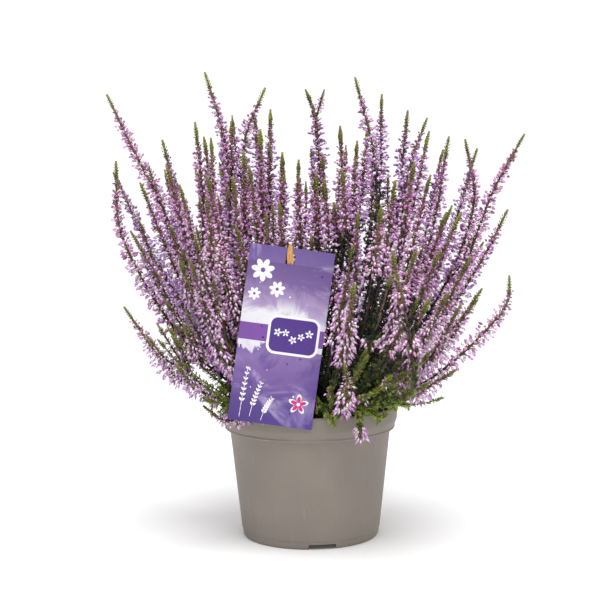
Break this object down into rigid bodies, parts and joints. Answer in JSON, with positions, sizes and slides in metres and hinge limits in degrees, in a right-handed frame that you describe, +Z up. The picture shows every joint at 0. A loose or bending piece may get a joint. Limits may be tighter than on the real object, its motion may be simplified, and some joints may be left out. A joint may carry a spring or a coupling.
{
  "type": "potted heather",
  "caption": "Bud heather in a round plastic nursery pot: upright sprays with lilac budded spikes and green tips, a card label hung on a wooden stake.",
  "frame": {"origin": "centre of the pot's underside, on the surface that it stands on", "axes": "+Z up, the label faces -Y, +X to the right as the label is read"},
  "size_m": [0.277, 0.2203, 0.3126],
  "materials": {
    "pot_plastic": "moulded taupe polypropylene, matte",
    "peat": "moist crumbly peat",
    "stake_wood": "bare split bamboo, sanded",
    "label_card": "printed card with a satin coat",
    "heather": "closed lilac buds, brown bracts and green scale leaves"
  },
  "bodies": {
    "root": {"pot": "pot_plastic", "soil": "peat", "stake": "stake_wood", "label": "label_card", "spray_01": "heather", "spray_02": "heather", "spray_03": "heather", "spray_04": "heather", "spray_05": "heather", "spray_06": "heather", "spray_07": "heather", "spray_08": "heather", "spray_09": "heather", "spray_10": "heather", "spray_11": "heather", "spray_12": "heather", "spray_13": "heather", "spray_14": "heather", "spray_15": "heather", "spray_16": "heather", "spray_17": "heather", "spray_18": "heather", "spray_19": "heather", "spray_20": "heather", "spray_21": "heather", "spray_22": "heather", "spray_23": "heather", "spray_24": "heather", "spray_25": "heather", "spray_26": "heather", "spray_27": "heather", "spray_28": "heather", "spray_29": "heather", "spray_30": "heather", "spray_31": "heather", "spray_32": "heather", "spray_33": "heather", "spray_34": "heather", "spray_35": "heather"}
  },
  "joints": []
}
